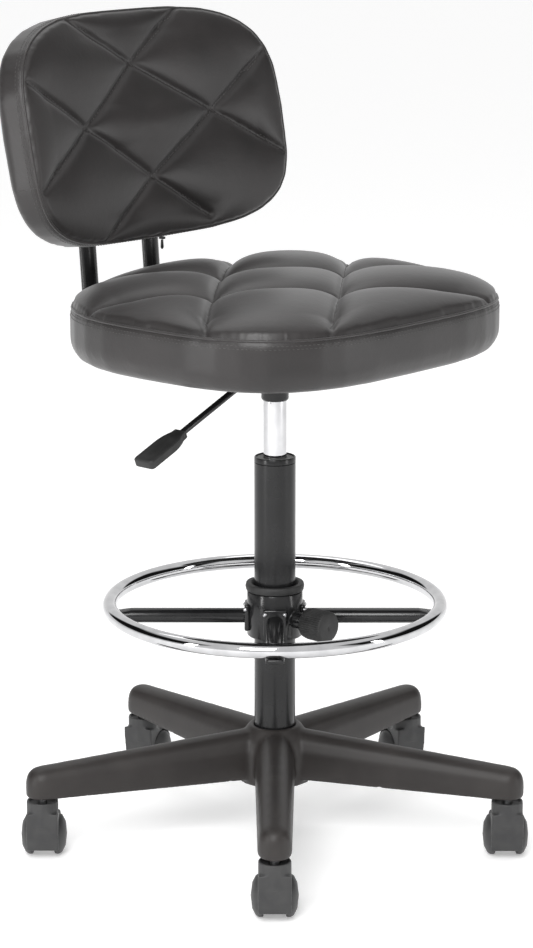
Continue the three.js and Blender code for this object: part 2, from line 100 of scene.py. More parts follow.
floor = bpy.data.objects.new("floor", plane_mesh("floor", floor_half))
bpy.context.scene.collection.objects.link(floor)
floor_paint = bpy.data.materials.new("floor_paint")
floor_paint.use_nodes = True
floor_shader = floor_paint.node_tree.nodes["Principled BSDF"]
floor_shader.inputs["Base Color"].default_value = (floor_tone, floor_tone, floor_tone, 1)
floor_shader.inputs["Roughness"].default_value = floor_roughness
floor_shader.inputs["Specular IOR Level"].default_value = 0.0
floor_shader.inputs["Emission Color"].default_value = (1, 1, 1, 1)
floor_shader.inputs["Emission Strength"].default_value = floor_glow
floor.data.materials.append(floor_paint)

world = bpy.data.worlds.new("studio")
world.use_nodes = True
bpy.context.scene.world = world
sky = world.node_tree.nodes
sky_direction = sky.new("ShaderNodeTexCoord")
overhead = (0, 0, 1)


def sky_share(direction, start, end, either_side=False):
    """0 below start and 1 above end, by how far a line of sight leans in a direction."""
    lean = sky.new("ShaderNodeVectorMath")
    lean.operation = "DOT_PRODUCT"
    lean.inputs[1].default_value = direction
    world.node_tree.links.new(sky_direction.outputs["Generated"], lean.inputs[0])
    size = sky.new("ShaderNodeMath")
    size.operation = "ABSOLUTE" if either_side else "ADD"
    size.inputs[1].default_value = 0
    share = sky.new("ShaderNodeMapRange")
    share.inputs["From Min"].default_value = start
    share.inputs["From Max"].default_value = end
    link_nodes(
        world.node_tree,
        (lean.outputs["Value"], size.inputs[0]),
        (size.outputs[0], share.inputs["Value"]),
    )
    return share.outputs["Result"]


def sky_product(first, second):
    product = sky.new("ShaderNodeMath")
    product.operation = "MULTIPLY"
    link_nodes(world.node_tree, (first, product.inputs[0]), (second, product.inputs[1]))
    return product.outputs[0]


flag_sides = sky_share(rightward, 0.54, 0.62, either_side=True)
flag_height = sky_share(overhead, 0.72, 0.60)
flag_front = sky_share(toward, 0.62, 0.50)
flag_foot = sky_share(overhead, horizon_bottom, horizon_top)
flags = sky_product(sky_product(flag_sides, flag_height), sky_product(flag_front, flag_foot))
horizon = sky.new("ShaderNodeMapRange")
horizon.inputs["To Min"].default_value = sky_strength
horizon.inputs["To Max"].default_value = horizon_strength
sky_tones = sky.new("ShaderNodeValToRGB")
sky_tones.color_ramp.elements[0].color = (1, 1, 1, 1)
sky_tones.color_ramp.elements[1].color = (flag_tone, flag_tone, flag_tone, 1)
link_nodes(
    world.node_tree,
    (flags, sky_tones.inputs["Fac"]),
    (sky_tones.outputs["Color"], sky["Background"].inputs["Color"]),
    (sky_share(overhead, horizon_top, horizon_bottom), horizon.inputs["Value"]),
    (horizon.outputs["Result"], sky["Background"].inputs["Strength"]),
)


def softbox(name, place, aim, size, power):
    """A rectangular area light at a place, turned to face its aim; size in metres, power in watts."""
    data = bpy.data.lights.new(name, "AREA")
    data.shape = "RECTANGLE"
    data.size, data.size_y = size
    data.energy = power
    box = bpy.data.objects.new(name, data)
    box.location = place
    box.rotation_euler = (Vector(aim) - Vector(place)).to_track_quat("-Z", "Y").to_euler()
    bpy.context.scene.collection.objects.link(box)


seat_and_back = (0, 0.1, 0.85)
mid_chair = (0, 0, 0.5)
softbox("key_softbox", place=(-2.5, -1.4, 2.3), aim=seat_and_back, size=(1.2, 1.6), power=74)
softbox("top_softbox", place=(0.5, 1.2, 3.2), aim=mid_chair, size=(2.2, 1.6), power=16)
softbox("left_strip", place=(-3.0, 0.7, 0.9), aim=mid_chair, size=(0.35, 1.7), power=26)
softbox("right_strip", place=(1.1, -3.0, 0.9), aim=mid_chair, size=(0.30, 1.7), power=16)


# Base: a five-leg star moulded in satin black nylon, its legs blended into a tall hub that holds the column.
base_voxel = 0.0024
base_rounding = 9
nylon_dark = (0.0185, 0.0160, 0.0152)
nylon_light = (0.0260, 0.0228, 0.0215)


def merged_copy(name, node):
    """A new piece with the shape of a CAD node, its split corners merged and its faces outwards."""
    mesh = nodes[node].data.copy()
    mesh.materials.clear()
    shape = bmesh.new()
    shape.from_mesh(mesh)
    bmesh.ops.remove_doubles(shape, verts=shape.verts, dist=1e-6)
    bmesh.ops.recalc_face_normals(shape, faces=shape.faces)
    shape.to_mesh(mesh)
    shape.free()
    piece = bpy.data.objects.new(name, mesh)
    bpy.context.scene.collection.objects.link(piece)
    return piece


def apply_modifiers(piece):
    """Keeps what a piece's modifiers make of it as its own mesh."""
    bpy.context.view_layer.update()
    graph = bpy.context.evaluated_depsgraph_get()
    made = bpy.data.meshes.new_from_object(piece.evaluated_get(graph))
    piece.modifiers.clear()
    piece.data = made


def smooth_faces(mesh, sharp_angle=None):
    mesh.polygons.foreach_set("use_smooth", [True] * len(mesh.polygons))
    if sharp_angle is not None:
        mesh.set_sharp_from_angle(angle=math.radians(sharp_angle))


def moulded(name, node, voxel, rounding):
    """A CAD node's shape with every edge and inner corner rounded, as a moulding has."""
    piece = merged_copy(name, node)
    remesh = piece.modifiers.new("remesh", "REMESH")
    remesh.mode = "VOXEL"
    remesh.voxel_size = voxel
    rounded = piece.modifiers.new("rounded", "SMOOTH")
    rounded.factor = 0.5
    rounded.iterations = rounding
    apply_modifiers(piece)
    smooth_faces(piece.data)
    return piece


# How much paler than a finish's light tone its painted ridge highlight is.
ridge_highlight_tone = 2.2


def finish_material(name, dark, light, rough, patch_size, grain_size, grain_depth, metal=0.0, ridge_highlight_strength=0.0):
    """A moulded, coated or polished finish: two tones in soft patches, fine surface grain, uneven gloss.

    rough is a pair of roughnesses; patch_size, grain_size and grain_depth are in metres; metal is 0 or 1;
    the last argument is how far convex ridges turn to a paler tone, a painted highlight on the edges.
    """
    material = bpy.data.materials.new(name)
    material.use_nodes = True
    tree = material.node_tree
    shader = tree.nodes["Principled BSDF"]
    shader.inputs["Metallic"].default_value = metal
    shader.inputs["Specular IOR Level"].default_value = 0.5 if metal else 0.34
    place = tree.nodes.new("ShaderNodeTexCoord")
    patches = tree.nodes.new("ShaderNodeTexNoise")
    patches.inputs["Scale"].default_value = 1 / patch_size
    patches.inputs["Detail"].default_value = 3
    tones = tree.nodes.new("ShaderNodeValToRGB")
    tones.color_ramp.elements[0].position = 0.35
    tones.color_ramp.elements[0].color = (*dark, 1)
    tones.color_ramp.elements[1].position = 0.65
    tones.color_ramp.elements[1].color = (*light, 1)
    gloss = tree.nodes.new("ShaderNodeMapRange")
    gloss.inputs["To Min"].default_value = rough[0]
    gloss.inputs["To Max"].default_value = rough[1]
    grain = tree.nodes.new("ShaderNodeTexNoise")
    grain.inputs["Scale"].default_value = 1 / grain_size
    grain.inputs["Detail"].default_value = 2
    bump = tree.nodes.new("ShaderNodeBump")
    bump.inputs["Strength"].default_value = 0.6
    bump.inputs["Distance"].default_value = grain_depth
    link_nodes(
        tree,
        (place.outputs["Object"], patches.inputs["Vector"]),
        (place.outputs["Object"], grain.inputs["Vector"]),
        (patches.outputs["Fac"], tones.inputs["Fac"]),
        (patches.outputs["Fac"], gloss.inputs["Value"]),
        (gloss.outputs["Result"], shader.inputs["Roughness"]),
        (grain.outputs["Fac"], bump.inputs["Height"]),
        (bump.outputs["Normal"], shader.inputs["Normal"]),
    )
    if ridge_highlight_strength == 0:
        tree.links.new(tones.outputs["Color"], shader.inputs["Base Color"])
        return material
    # Painted highlight: where pointiness marks a convex ridge, the colour is mixed toward a paler copy of the
    # light tone.
    edges = tree.nodes.new("ShaderNodeNewGeometry")
    ridge_highlight_share = tree.nodes.new("ShaderNodeMapRange")
    ridge_highlight_share.inputs["From Min"].default_value = 0.53
    ridge_highlight_share.inputs["From Max"].default_value = 0.62
    ridge_highlight_share.inputs["To Max"].default_value = ridge_highlight_strength
    ridge_highlight_mix = tree.nodes.new("ShaderNodeMix")
    ridge_highlight_mix.data_type = "RGBA"
    ridge_highlight_mix.inputs["B"].default_value = (*[min(1, ridge_highlight_tone * tone) for tone in light], 1)
    link_nodes(
        tree,
        (edges.outputs["Pointiness"], ridge_highlight_share.inputs["Value"]),
        (ridge_highlight_share.outputs["Result"], ridge_highlight_mix.inputs["Factor"]),
        (tones.outputs["Color"], ridge_highlight_mix.inputs["A"]),
        (ridge_highlight_mix.outputs["Result"], shader.inputs["Base Color"]),
    )
    return material


def fit_piece(piece, material, body, slot, *replaced):
    """Paints a piece, rides it on its body, and lets it stand for the CAD nodes that it replaces."""
    piece.data.materials.clear()
    piece.data.materials.append(material)
    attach(piece, body)
    if replaced:
        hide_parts(*replaced)


# The base's convex ridges get a painted highlight.
nylon = finish_material("base_nylon", nylon_dark, nylon_light, (0.40, 0.52), 0.05, 0.0006, 0.00012, ridge_highlight_strength=0.6)
star = moulded("star_base", "base_star", base_voxel, base_rounding)
fit_piece(star, nylon, "root", "base_nylon", "base_star")


# Casters: twin wheels on a steel axle under a dark grey hood, each hood turning on a pin in its leg's socket.
caster_count = 5
hood_voxel = 0.0013
hood_rounding = 9
wheel_bevel = 0.0018
caster_dark = (0.034, 0.034, 0.035)
caster_light = (0.044, 0.044, 0.044)


def edged_copy(name, node, bevel_width, sharp_angle=34):
    """A CAD node's shape with its sharp edges bevelled; the angle is in degrees."""
    piece = merged_copy(name, node)
    bevel = piece.modifiers.new("edges", "BEVEL")
    bevel.width = bevel_width
    bevel.segments = 2
    bevel.limit_method = "ANGLE"
    bevel.angle_limit = math.radians(sharp_angle)
    apply_modifiers(piece)
    smooth_faces(piece.data, sharp_angle)
    return piece


# The hoods' and wheels' convex ridges get a fainter painted highlight.
hood_plastic = finish_material(
    "caster_plastic", caster_dark, caster_light, (0.42, 0.55), 0.018, 0.0005, 0.0001, ridge_highlight_strength=0.35)
zinc = finish_material(
    "zinc_plate", (0.35, 0.35, 0.36), (0.50, 0.50, 0.51), (0.28, 0.42), 0.006, 0.0003, 0.00004, metal=1)

for number in range(1, caster_count + 1):
    hood = moulded(f"hood_{number}", f"caster_hood_{number}", hood_voxel, hood_rounding)
    fit_piece(hood, hood_plastic, f"caster_{number}", "caster_plastic", f"caster_hood_{number}")
    for hand in ("left", "right"):
        node = f"caster_wheel_{hand}_{number}"
        tyre = edged_copy(f"wheel_{hand}_{number}", node, wheel_bevel)
        fit_piece(tyre, hood_plastic, f"wheel_{hand}_{number}", "caster_plastic", node)
    for part in ("stem", "axle"):
        nodes[f"caster_{part}_{number}"].data.materials[0] = zinc


# Column: a black powder-coated tube standing in the hub, with a grey guide bush pressed into its open top.
column_lip = 0.0012
column_groove = 0.007
column_groove_depth = 0.0005
bush_wall_gap = 0.0003
round_steps = 96


def turned_piece(name, profile, centre, steps=round_steps):
    """A body of revolution about a vertical line through centre, from a closed loop of (radius, height)."""
    angles = [2 * math.pi * step / steps for step in range(steps)]
    points = [
        (centre.x + radius * math.cos(angle), centre.y + radius * math.sin(angle), height)
        for radius, height in profile for angle in angles
    ]
    rows = len(profile)
    faces = []
    for row in range(rows):
        after = (row + 1) % rows
        for step in range(steps):
            turn = (step + 1) % steps
            faces.append((row * steps + step, row * steps + turn, after * steps + turn, after * steps + step))
    mesh = bpy.data.meshes.new(name)
    mesh.from_pydata(points, [], faces)
    shape = bmesh.new()
    shape.from_mesh(mesh)
    bmesh.ops.remove_doubles(shape, verts=shape.verts, dist=1e-7)
    bmesh.ops.recalc_face_normals(shape, faces=shape.faces)
    shape.to_mesh(mesh)
    shape.free()
    smooth_faces(mesh, 40)
    piece = bpy.data.objects.new(name, mesh)
    bpy.context.scene.collection.objects.link(piece)
    return piece


powder_coat = finish_material(
    "powder_coat", (0.007, 0.007, 0.0074), (0.011, 0.011, 0.0115), (0.19, 0.27), 0.04, 0.0011, 0.00008)
column_radius = (column_high.x - column_low.x) / 2
bush_low, bush_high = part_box("column_bush")
column_bore = (bush_high.x - bush_low.x) / 2 + bush_wall_gap
tube_profile = [
    (column_bore, column_low.z),
    (column_radius, column_low.z),
    (column_radius, column_high.z - column_groove - column_groove_depth),
    (column_radius - column_groove_depth, column_high.z - column_groove),
    (column_radius, column_high.z - column_groove + column_groove_depth),
    (column_radius, column_high.z - column_lip),
    (column_radius - 0.3 * column_lip, column_high.z - 0.3 * column_lip),
    (column_radius - column_lip, column_high.z),
    (column_bore, column_high.z),
]
tube = turned_piece("column", tube_profile, axis)
fit_piece(tube, powder_coat, "root", "black_steel", "column_tube")

acetal = finish_material(
    "grey_acetal", (0.20, 0.20, 0.195), (0.28, 0.28, 0.27), (0.4, 0.5), 0.01, 0.0004, 0.00003)
bush = edged_copy("guide_bush", "column_bush", 0.0006)
fit_piece(bush, acetal, "root", "bush_plastic", "column_bush")


# Gas lift: the polished cylinder goes up into the seat's cone, and its ground rod stands on a bearing in the
# column, where a clip holds it.
chrome = finish_material(
    "polished_chrome", (0.52, 0.52, 0.53), (0.60, 0.60, 0.61), (0.035, 0.075),
    0.02, 0.0008, 0.000006, metal=1)
cylinder_piece = edged_copy("lift_cylinder", "gas_cylinder", 0.0008)
fit_piece(cylinder_piece, chrome, "seat", "chrome", "gas_cylinder")
for node in ("piston_rod", "thrust_bearing", "rod_clip"):
    nodes[node].data.materials[0] = zinc


# Foot ring: a chromed tube bent to a hoop, carried on four flat oval spokes from a hub that slides on the
# column.
spoke_count = 4
hoop_steps = 160
tube_steps = 28
ring_low, ring_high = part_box("foot_ring")
tube_radius = (ring_high.z - ring_low.z) / 2
hoop_radius = (ring_high.x - ring_low.x) / 2 - tube_radius
ring_level = (ring_high.z + ring_low.z) / 2
hoop_profile = [
    (hoop_radius + tube_radius * math.cos(2 * math.pi * step / tube_steps),
     ring_level + tube_radius * math.sin(2 * math.pi * step / tube_steps))
    for step in range(tube_steps)
]
hoop = turned_piece("foot_hoop", hoop_profile, axis, hoop_steps)
fit_piece(hoop, chrome, "ring", "chrome", "foot_ring")

spoke_coat = finish_material(
    "spoke_coat", (0.007, 0.007, 0.0075), (0.012, 0.012, 0.0125), (0.14, 0.24), 0.03, 0.0016, 0.00008)
ring_hub = edged_copy("sliding_hub", "ring_hub", 0.0012)
fit_piece(ring_hub, spoke_coat, "ring", "black_steel", "ring_hub")
for number in range(1, spoke_count + 1):
    spoke = edged_copy(f"spoke_{number}", f"ring_spoke_{number}", 0.0008)
    fit_piece(spoke, spoke_coat, "ring", "black_steel", f"ring_spoke_{number}")


# Spoke roots: each spoke ends in a welded pad on the hub, held by a pair of button-head screws.
pad_size = Vector((0.0062, 0.0285, 0.0330))
pad_edge = 0.0022
screw_radius = 0.0030
screw_spacing = 0.0118
hub_low, hub_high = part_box("ring_hub")
hub_radius = (hub_high.x - hub_low.x) / 2


def spoke_turn(number):
    """The direction of a spoke round the column, in radians."""
    low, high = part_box(f"ring_spoke_{number}")
    way = (low + high) / 2 - axis
    return math.atan2(way.y, way.x)


def pad_mesh(name, turn):
    """A block with rounded edges, standing on the hub where a spoke meets it."""
    low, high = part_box("ring_spoke_1")
    shape = bmesh.new()
    bmesh.ops.create_cube(shape, size=1)
    bmesh.ops.scale(shape, vec=pad_size, verts=shape.verts)
    bmesh.ops.bevel(shape, geom=shape.edges, offset=pad_edge, segments=3, profile=0.5, affect="EDGES")
    for point in shape.verts:
        radius = hub_radius + point.co.x
        point.co.x, point.co.y, point.co.z = (
            axis.x + radius * math.cos(turn) - point.co.y * math.sin(turn),
            axis.y + radius * math.sin(turn) + point.co.y * math.cos(turn),
            (low.z + high.z) / 2 + point.co.z)
    mesh = bpy.data.meshes.new(name)
    shape.to_mesh(mesh)
    shape.free()
    smooth_faces(mesh, 60)
    return mesh


for number in range(1, spoke_count + 1):
    name = f"spoke_pad_{number}"
    pad = bpy.data.objects.new(name, pad_mesh(name, spoke_turn(number)))
    bpy.context.scene.collection.objects.link(pad)
    fit_piece(pad, spoke_coat, "ring", "black_steel")


# Hub liner and clamp: a plastic sleeve with a flared lip keeps the hub off the paint, and a ribbed knob
# presses a shoe on the column to lock it.
matt_plastic = finish_material(
    "matt_plastic", (0.016, 0.016, 0.016), (0.026, 0.026, 0.026), (0.48, 0.62), 0.012, 0.0005, 0.00012)
liner = edged_copy("hub_liner", "ring_liner", 0.0006)
fit_piece(liner, matt_plastic, "ring_liner", "black_plastic", "ring_liner")
shoe = edged_copy("brake_shoe", "clamp_shoe", 0.0004)
fit_piece(shoe, matt_plastic, "clamp_shoe", "black_plastic", "clamp_shoe")

# The knob: its rim is moulded in fine ribs for grip, and its face has a shallow dimple from the mould's gate.
knob_ribs = 44
knob_rib_depth = 0.0007
knob_rib_start = 0.0178
knob_radius = 0.0192
knob_boss_radius = 0.0110
knob_face_radius = 0.0160
dimple_radius = 0.0040
dimple_depth = 0.0012
knob_steps = knob_ribs * 6
knob_low, knob_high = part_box("clamp_knob")
knob_inner = Vector(((knob_low.x + knob_high.x) / 2, (knob_low.y + knob_high.y) / 2, 0)) - axis
knob_way = knob_inner.normalized()
knob_centre = axis + knob_inner + Vector((0, 0, (knob_low.z + knob_high.z) / 2))
knob_length = 0.036
knob_face = 0.5 * knob_length
knob_profile = [
    (0.0, -knob_face),
    (knob_boss_radius, -knob_face),
    (0.0158, -knob_face + 0.0008),
    (0.0180, -knob_face + 0.003),
    (knob_radius, -knob_face + 0.009),
    (knob_radius, 0.0),
    (knob_radius, knob_face - 0.004),
    (0.0188, knob_face - 0.002),
    (0.0176, knob_face - 0.0006),
    (knob_face_radius, knob_face),
    (dimple_radius, knob_face),
    (0.0028, knob_face - 0.0003),
    (0.0012, knob_face - 0.0010),
    (0.0, knob_face - dimple_depth),
]


def ribbed_knob(name):
    """The knob's turned shape with ribs cut in its rim, laid along the clamp screw."""
    piece = turned_piece(name, knob_profile, Vector((0, 0, 0)), knob_steps)
    turn = knob_way.to_track_quat("Z", "Y").to_matrix()
    for point in piece.data.vertices:
        radius = math.hypot(point.co.x, point.co.y)
        if radius > knob_rib_start and point.co.z < knob_face - 0.001:
            wave = math.cos(math.atan2(point.co.y, point.co.x) * knob_ribs)
            shrink = 1 - knob_rib_depth * max(0, -wave) ** 0.6 / radius
            point.co.x *= shrink
            point.co.y *= shrink
        point.co = turn @ point.co + knob_centre
    smooth_faces(piece.data, 50)
    return piece


fit_piece(ribbed_knob("clamp_grip"), matt_plastic, "clamp_knob", "black_plastic", "clamp_knob")
nodes["clamp_screw"].data.materials[0] = zinc


# Seat plate and lever: a pressed steel plate holds the lift's cone, and a bent rod with a paddle works the
# lift's button.
bolt_count = 4
plate = edged_copy("seat_plate", "lift_mechanism", 0.0007)
fit_piece(plate, powder_coat, "seat", "black_steel", "lift_mechanism")
rod = edged_copy("release_rod", "lever_rod", 0.0004)
fit_piece(rod, powder_coat, "lever", "black_steel", "lever_rod")
handle = edged_copy("release_paddle", "lever_paddle", 0.0012)
fit_piece(handle, matt_plastic, "lever", "black_plastic", "lever_paddle")
nodes["release_button"].data.materials[0] = zinc
for number in range(1, bolt_count + 1):
    nodes[f"seat_bolt_{number}"].data.materials[0] = zinc


# Boards: birch plywood panels inside the seat and the backrest, which the covers are stapled round. The
# seat's board shows underneath, where black dust cloth covers it.
ply = finish_material("plywood", (0.30, 0.19, 0.09), (0.46, 0.32, 0.17), (0.5, 0.7), 0.02, 0.0012, 0.0001)
dust_cloth = finish_material(
    "dust_cloth", (0.010, 0.010, 0.010), (0.020, 0.020, 0.020), (0.8, 0.95), 0.01, 0.0007, 0.0004)
nodes["back_board"].data.materials[0] = ply
nodes["seat_board"].data.materials[0] = dust_cloth


# Seat cushion: moulded foam on a board in black grained leatherette, with a top panel quilted along four
# crossing seams, a piped edge and a plain side band. The cover is blown up against its stitching by a cloth
# simulation.
cushion_voxel = 0.0041
foam_inset = 0.003
most_flattening = 0.004
upward_lean = 0.15
dome_roundness = 0.7
seat_dome_power = 5.5
seat_shallow_edge = 0.16
seat_least_drop = 0.25
seat_seam = 0.669
seat_crown = 0.708
seat_front_power = 3.2
seat_rear_power = 2.5
channel_depth = 0.018
channel_half_width = 0.018
crossing_depth = 0.003
crossing_width = 0.030
fold_depth = 0.0032
fold_width = 0.0036
seat_pressure = 3.0
seat_swell = 0.018
cover_frames = 20
held_width = 0.0045
leather_dark = (0.0088, 0.0074, 0.0073)
leather_light = (0.0155, 0.0131, 0.0129)


def coordinates(mesh):
    places = np.empty(len(mesh.vertices) * 3)
    mesh.vertices.foreach_get("co", places)
    return places.reshape(-1, 3)


def set_coordinates(mesh, places):
    mesh.vertices.foreach_set("co", np.ascontiguousarray(places).ravel())
    mesh.update()


def normals(mesh):
    directions = np.empty(len(mesh.vertices) * 3)
    mesh.vertex_normals.foreach_get("vector", directions)
    return directions.reshape(-1, 3)


def smooth_line(points, steps=16):
    """Many points along a smooth curve through a few, in any number of dimensions."""
    ends = [2 * np.array(points[0]) - np.array(points[1]), 2 * np.array(points[-1]) - np.array(points[-2])]
    knots = np.array([ends[0], *points, ends[1]], float)
    line = []
    for a, b, c, d in zip(knots, knots[1:], knots[2:], knots[3:]):
        for t in np.arange(steps) / steps:
            line.append(0.5 * (2 * b + (c - a) * t + (2 * a - 5 * b + 4 * c - d) * t ** 2
                               + (3 * b - a - 3 * c + d) * t ** 3))
    line.append(knots[-2])
    return np.array(line)


def distance_to_line(places, line):
    nearest = np.full(len(places), 1e9)
    for start, end in zip(line, line[1:]):
        run = end - start
        along = np.clip((places - start) @ run / (run @ run), 0, 1)
        gap = np.linalg.norm(places - start - along[:, None] * run, axis=1)
        nearest = np.minimum(nearest, gap)
    return nearest


def remeshed_cushion(name, node):
    piece = merged_copy(name, node)
    remesh = piece.modifiers.new("remesh", "REMESH")
    remesh.mode = "VOXEL"
    remesh.voxel_size = cushion_voxel
    soften = piece.modifiers.new("soften", "SMOOTH")
    soften.factor = 0.5
    soften.iterations = 8
    apply_modifiers(piece)
    smooth_faces(piece.data)
    return piece


def quilt_drop(gaps, crossings):
    """How far the quilting pulls the cover in, from the distances to each seam and to the crossings."""
    fullness = np.prod(1 - np.exp(-gaps / channel_half_width), axis=0)
    dimple = crossing_depth * np.exp(-(crossings.min(axis=0) / crossing_width) ** 2)
    return channel_depth * (1 - fullness) + dimple


def inflate(piece, held, pressure, cap):
    """Blows the cover up between its held points with a cloth simulation, and keeps the result in the mesh.

    cap limits how far any point may move, in metres.
    """
    start = coordinates(piece.data)
    group = piece.vertex_groups.new(name="held")
    group.add([int(index) for index in np.flatnonzero(held)], 1.0, "REPLACE")
    cloth = piece.modifiers.new("cover", "CLOTH")
    cloth.settings.quality = 5
    cloth.settings.mass = 0.3
    cloth.settings.tension_stiffness = 12
    cloth.settings.compression_stiffness = 12
    cloth.settings.shear_stiffness = 4
    cloth.settings.bending_stiffness = 2.0
    cloth.settings.use_pressure = True
    cloth.settings.uniform_pressure_force = pressure
    cloth.settings.vertex_group_mass = "held"
    cloth.settings.effector_weights.gravity = 0
    cloth.collision_settings.use_collision = False
    scene = bpy.context.scene
    for moment in range(1, cover_frames + 1):
        scene.frame_set(moment)
    graph = bpy.context.evaluated_depsgraph_get()
    blown = coordinates(piece.evaluated_get(graph).data)
    piece.modifiers.clear()
    piece.vertex_groups.clear()
    scene.frame_set(1)
    moved = blown - start
    length = np.linalg.norm(moved, axis=1, keepdims=True) + 1e-9
    set_coordinates(piece.data, start + moved / length * cap * np.tanh(length / cap))


def subdivide(piece):
    finer = piece.modifiers.new("finer", "SUBSURF")
    finer.levels = finer.render_levels = 1
    apply_modifiers(piece)
    smooth_faces(piece.data)


def ease(piece, passes):
    """Evens out the small lumps that sewing the channels into a remeshed cover leaves."""
    even = piece.modifiers.new("even", "SMOOTH")
    even.factor = 0.5
    even.iterations = passes
    apply_modifiers(piece)
    smooth_faces(piece.data)


pebble_scale = 720
pebble_depth = 0.00018
crease_scale = 95
crease_depth = 0.0006
patch_scale = 14
# A paler tone painted on the convex crests of the puffs as a highlight, and the most of it that is mixed in.
leather_highlight_tone = (0.050, 0.045, 0.044)
leather_highlight_share = 0.35


def leather_material(name):
    """Leatherette: pebbled grain, soft creases, slightly uneven tone and gloss, and a painted highlight that
    turns the convex crests of the puffs paler.
    """
    material = bpy.data.materials.new(name)
    material.use_nodes = True
    tree = material.node_tree
    shader = tree.nodes["Principled BSDF"]
    shader.inputs["Specular IOR Level"].default_value = 0.46
    shader.inputs["Sheen Weight"].default_value = 0.12
    shader.inputs["Sheen Roughness"].default_value = 0.5
    place = tree.nodes.new("ShaderNodeTexCoord")
    patches = tree.nodes.new("ShaderNodeTexNoise")
    patches.inputs["Scale"].default_value = patch_scale
    patches.inputs["Detail"].default_value = 4
    tones = tree.nodes.new("ShaderNodeValToRGB")
    tones.color_ramp.elements[0].position = 0.3
    tones.color_ramp.elements[0].color = (*leather_dark, 1)
    tones.color_ramp.elements[1].position = 0.7
    tones.color_ramp.elements[1].color = (*leather_light, 1)
    gloss = tree.nodes.new("ShaderNodeMapRange")
    gloss.inputs["To Min"].default_value = 0.36
    gloss.inputs["To Max"].default_value = 0.48
    pebbles = tree.nodes.new("ShaderNodeTexVoronoi")
    pebbles.feature = "SMOOTH_F1"
    pebbles.inputs["Scale"].default_value = pebble_scale
    creases = tree.nodes.new("ShaderNodeTexNoise")
    creases.inputs["Scale"].default_value = crease_scale
    creases.inputs["Detail"].default_value = 3
    creases.inputs["Distortion"].default_value = 0.6
    fine = tree.nodes.new("ShaderNodeBump")
    fine.inputs["Strength"].default_value = 0.35
    fine.inputs["Distance"].default_value = pebble_depth
    broad = tree.nodes.new("ShaderNodeBump")
    broad.inputs["Strength"].default_value = 0.35
    broad.inputs["Distance"].default_value = crease_depth
    # Painted highlight: where pointiness marks a convex crest, the colour is mixed toward the paler tone.
    surface = tree.nodes.new("ShaderNodeNewGeometry")
    ridges = tree.nodes.new("ShaderNodeMapRange")
    ridges.inputs["From Min"].default_value = 0.52
    ridges.inputs["From Max"].default_value = 0.60
    ridges.inputs["To Max"].default_value = leather_highlight_share
    leather_highlight_mix = tree.nodes.new("ShaderNodeMix")
    leather_highlight_mix.data_type = "RGBA"
    leather_highlight_mix.inputs["B"].default_value = (*leather_highlight_tone, 1)
    link_nodes(
        tree,
        (place.outputs["Object"], patches.inputs["Vector"]),
        (place.outputs["Object"], pebbles.inputs["Vector"]),
        (place.outputs["Object"], creases.inputs["Vector"]),
        (patches.outputs["Fac"], tones.inputs["Fac"]),
        (patches.outputs["Fac"], gloss.inputs["Value"]),
        (gloss.outputs["Result"], shader.inputs["Roughness"]),
        (creases.outputs["Fac"], broad.inputs["Height"]),
        (pebbles.outputs["Distance"], fine.inputs["Height"]),
        (broad.outputs["Normal"], fine.inputs["Normal"]),
        (fine.outputs["Normal"], shader.inputs["Normal"]),
        (surface.outputs["Pointiness"], ridges.inputs["Value"]),
        (ridges.outputs["Result"], leather_highlight_mix.inputs["Factor"]),
        (tones.outputs["Color"], leather_highlight_mix.inputs["A"]),
        (leather_highlight_mix.outputs["Result"], shader.inputs["Base Color"]),
    )
    return material


leather = leather_material("leatherette")
seat_low, seat_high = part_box("seat_cushion")
seat_middle = (seat_low + seat_high) / 2
seat_half = (seat_high - seat_low) / 2

# The quilting, as it lies on the top panel: two seams and their mirror images, measured from the column's
# axis in metres.
seat_seams_right = [
    [(-0.236, -0.105), (-0.117, -0.008), (0.0, 0.085), (0.140, 0.190)],
    [(-0.150, -0.214), (0.0, -0.100), (0.117, -0.008), (0.236, 0.085)],
]
seat_seams_left = [[(-x, y) for x, y in seam] for seam in seat_seams_right]
seat_crossings = np.array([(-0.117, -0.008), (0.117, -0.008), (0.0, 0.085), (0.0, -0.100)])
axis_offset = np.array([axis.x, axis.y])
seat_seams = [smooth_line(seam) + axis_offset for seam in seat_seams_right + seat_seams_left]


def seat_edge_share(places):
    """0 at the middle of the seat and 1 on its outline, which is squarer in front than behind."""
    across = np.abs(places[:, 0] - seat_middle.x) / seat_half.x
    along = (places[:, 1] - seat_middle.y) / seat_half.y
    power = np.where(along < 0, seat_front_power, seat_rear_power)
    return (across ** power + np.abs(along) ** power) ** (1 / power)


seat_cover = remeshed_cushion("seat_cover", "seat_cushion")
places = coordinates(seat_cover.data)
on_top = (places[:, 2] > seat_seam) & (normals(seat_cover.data)[:, 2] > upward_lean)
share = np.clip(seat_edge_share(places), 0, 1)
dome = (1 - share ** seat_dome_power) ** dome_roundness
places[on_top, 2] = np.maximum(
    places[on_top, 2] - most_flattening, seat_seam + (seat_crown - foam_inset - seat_seam) * dome[on_top])
seam_gaps = np.array([distance_to_line(places[:, :2], seam) for seam in seat_seams])
crossing_gaps = np.array([
    np.linalg.norm(places[:, :2] - crossing - axis_offset, axis=1) for crossing in seat_crossings])
toward_edge = np.clip((1 - share) / seat_shallow_edge, seat_least_drop, 1)
drop = quilt_drop(seam_gaps, crossing_gaps) * toward_edge
places[on_top, 2] -= drop[on_top]
set_coordinates(seat_cover.data, places)
near_seam = (seam_gaps.min(axis=0) < held_width) & on_top
inflate(seat_cover, near_seam | (places[:, 2] < seat_seam - 0.001), seat_pressure, seat_swell)
subdivide(seat_cover)

